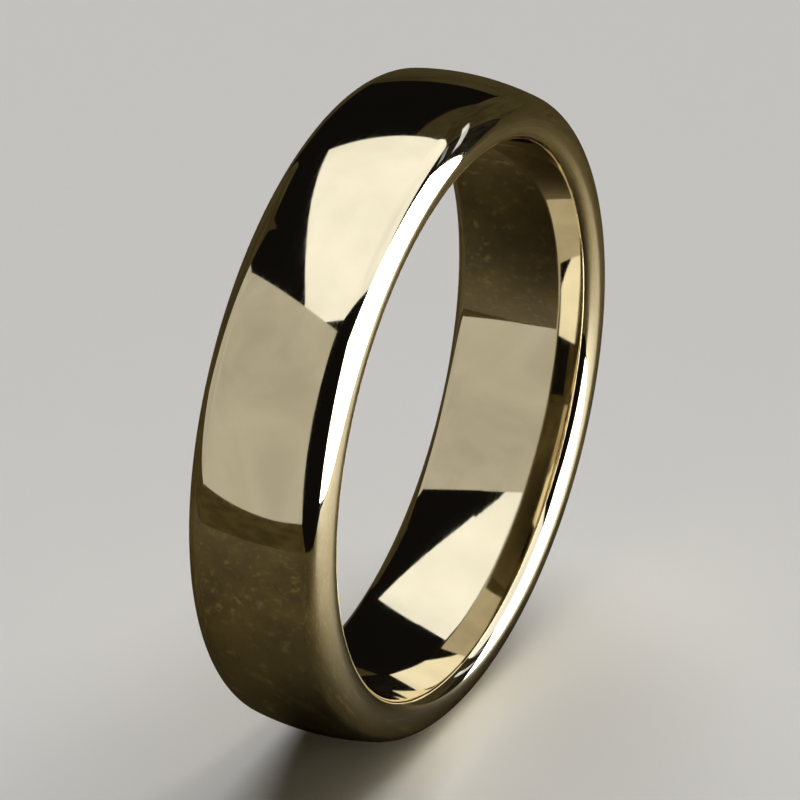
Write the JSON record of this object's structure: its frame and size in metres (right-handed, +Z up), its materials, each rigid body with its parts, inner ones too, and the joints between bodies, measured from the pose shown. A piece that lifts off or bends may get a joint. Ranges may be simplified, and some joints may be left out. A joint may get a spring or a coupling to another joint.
{
  "type": "wedding band",
  "caption": "Plain polished gold finger ring with a low domed outside, rounded shoulders and a gently domed inside.",
  "frame": {"origin": "centre of the finger hole, half way across the band's width", "axes": "+Y along the finger hole's axis, +Z up with the band standing on its rim, +X across"},
  "size_m": [0.0214, 0.005, 0.0214],
  "materials": {
    "gold": "mirror-polished pale yellow gold"
  },
  "bodies": {
    "root": {"band": "gold"}
  },
  "joints": []
}
